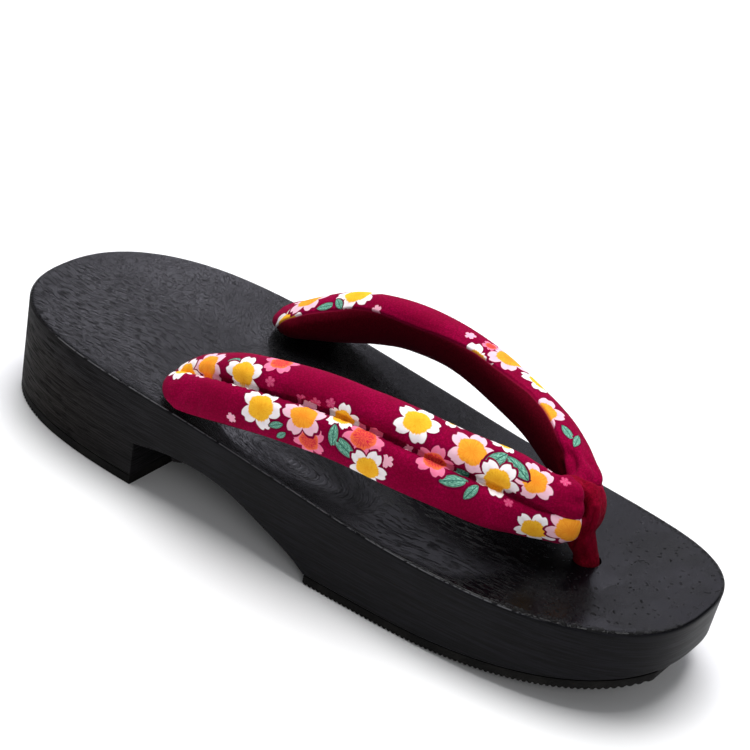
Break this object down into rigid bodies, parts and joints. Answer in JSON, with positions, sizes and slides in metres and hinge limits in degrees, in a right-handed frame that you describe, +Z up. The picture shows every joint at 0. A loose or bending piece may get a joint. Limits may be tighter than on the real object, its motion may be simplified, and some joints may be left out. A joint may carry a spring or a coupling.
{
  "type": "geta sandal",
  "caption": "Lacquered wooden thong sandal with a heel block, an arched underside, rubber treads and a padded, flower-printed cloth strap held at the toe by a wrapped post.",
  "frame": {"origin": "on the floor under the middle of the sandal's outline", "axes": "+Z up from the floor, +Y from the heel to the toe, +X to the right seen from behind"},
  "size_m": [0.0847, 0.2399, 0.0597],
  "materials": {
    "lacquered_wood": "black lacquer, satin, with open grain",
    "tread_rubber": "matt black",
    "printed_cotton": "magenta cotton printed with small blossoms",
    "crimson_crepe": "dark crimson crepe",
    "cord": "twisted black cord"
  },
  "bodies": {
    "root": {"wood_base": "lacquered_wood", "front_rubber_sole": "tread_rubber", "heel_rubber_sole": "tread_rubber", "strap": "printed_cotton", "toe_loop": "crimson_crepe", "front_knot": "cord", "rear_cord_left": "cord", "rear_cord_right": "cord"}
  },
  "joints": []
}
